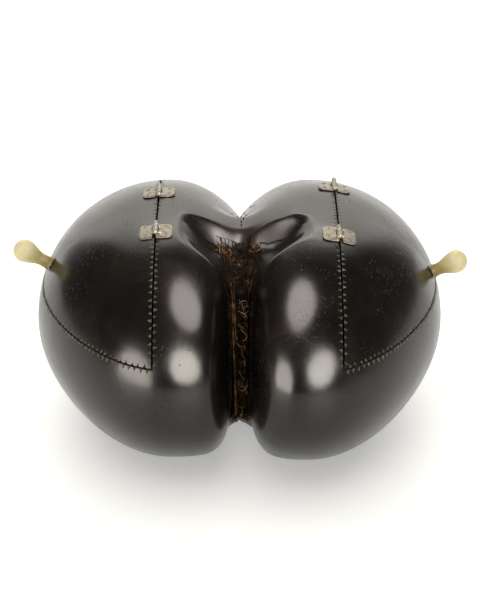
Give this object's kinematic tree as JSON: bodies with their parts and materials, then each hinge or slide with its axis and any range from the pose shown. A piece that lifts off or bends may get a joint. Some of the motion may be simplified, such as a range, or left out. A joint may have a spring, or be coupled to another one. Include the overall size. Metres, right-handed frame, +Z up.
{
  "type": "coco de mer seed box",
  "caption": "Polished double coconut shell made into a box: a hinged lid with a turned knob on the outer side of each lobe, and husk fibre in the cleft.",
  "frame": {"origin": "middle of the bounding box, on the surface that the nut rests on", "axes": "+X across both lobes from the left knob to the right knob, +Y from the lobes' tips and the cleft to the heart-shaped back, +Z up through the nut's thickness"},
  "size_m": [0.3264, 0.294, 0.1692],
  "materials": {
    "polished_shell": "hand-polished black-brown nut shell",
    "husk_fibre": "coarse dry husk fibre",
    "hinge_metal": "tarnished pale metal",
    "nail_metal": "tarnished pale metal",
    "turned_bone": "yellowed turned bone"
  },
  "bodies": {
    "seed": {"seed_shell": "polished_shell", "fibre_tuft": "husk_fibre", "body_leaf_left_front": "hinge_metal", "pin_left_front": "hinge_metal", "body_nail_left_front_1": "nail_metal", "body_nail_left_front_2": "nail_metal", "body_leaf_left_rear": "hinge_metal", "pin_left_rear": "hinge_metal", "body_nail_left_rear_1": "nail_metal", "body_nail_left_rear_2": "nail_metal", "body_leaf_right_front": "hinge_metal", "pin_right_front": "hinge_metal", "body_nail_right_front_1": "nail_metal", "body_nail_right_front_2": "nail_metal", "body_leaf_right_rear": "hinge_metal", "pin_right_rear": "hinge_metal", "body_nail_right_rear_1": "nail_metal", "body_nail_right_rear_2": "nail_metal"},
    "left_lid": {"lid_left": "polished_shell", "knob_left": "turned_bone", "lid_leaf_left_front": "hinge_metal", "lid_nail_left_front_1": "nail_metal", "lid_nail_left_front_2": "nail_metal", "lid_leaf_left_rear": "hinge_metal", "lid_nail_left_rear_1": "nail_metal", "lid_nail_left_rear_2": "nail_metal"},
    "right_lid": {"lid_right": "polished_shell", "knob_right": "turned_bone", "lid_leaf_right_front": "hinge_metal", "lid_nail_right_front_1": "nail_metal", "lid_nail_right_front_2": "nail_metal", "lid_leaf_right_rear": "hinge_metal", "lid_nail_right_rear_1": "nail_metal", "lid_nail_right_rear_2": "nail_metal"}
  },
  "joints": [
    {"name": "left_lid_hinge", "type": "hinge", "parent": "seed", "child": "left_lid", "pos_m": [-0.05875, -0.0047, 0.1676], "axis": [0, 1, 0], "range_deg": [0, 120]},
    {"name": "right_lid_hinge", "type": "hinge", "parent": "seed", "child": "right_lid", "pos_m": [0.06825, -0.0047, 0.1656], "axis": [0, -1, 0], "range_deg": [0, 120]}
  ]
}
